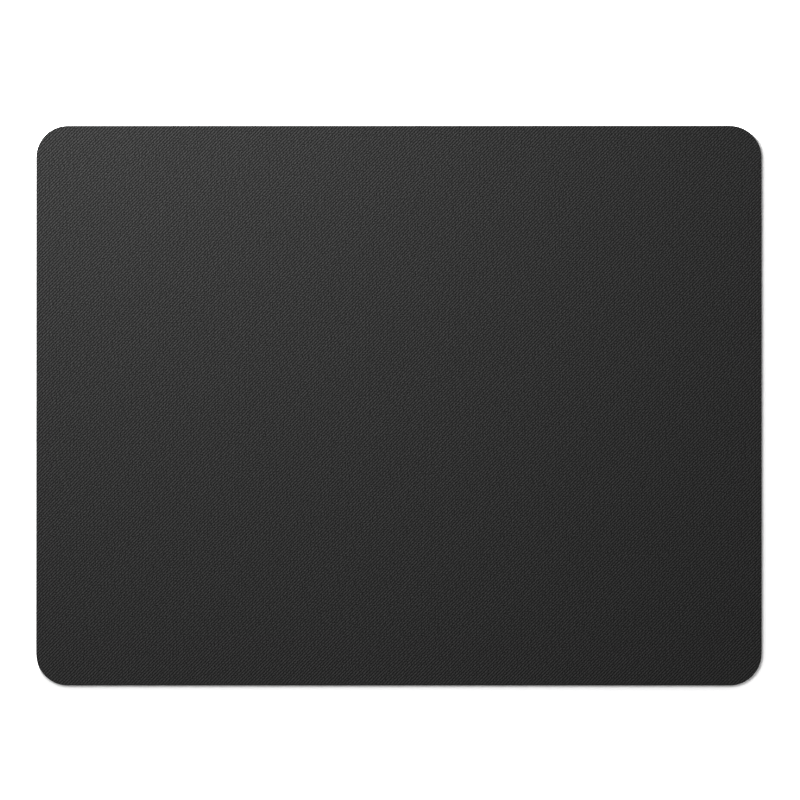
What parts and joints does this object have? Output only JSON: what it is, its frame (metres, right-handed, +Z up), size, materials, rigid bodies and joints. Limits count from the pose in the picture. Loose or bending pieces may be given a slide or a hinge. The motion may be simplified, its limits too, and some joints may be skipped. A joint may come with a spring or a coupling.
{
  "type": "mouse pad",
  "caption": "Flat rectangular mouse pad with rounded corners: dark grey diagonal twill cloth bonded to a thin black sponge rubber backing with a grippy underside.",
  "frame": {"origin": "middle of the underside, on the surface that the pad lies on", "axes": "+X along the long side, to the right for a user at the front; +Y away from the user; +Z up out of the cloth"},
  "size_m": [0.28, 0.216, 0.003],
  "materials": {
    "grip_rubber": "matte",
    "sponge_rubber": "matte",
    "hot_melt": "satin",
    "twill": "matte"
  },
  "bodies": {
    "root": {"grip_base": "grip_rubber", "sponge_core": "sponge_rubber", "adhesive_film": "hot_melt", "twill_cloth": "twill"}
  },
  "joints": []
}
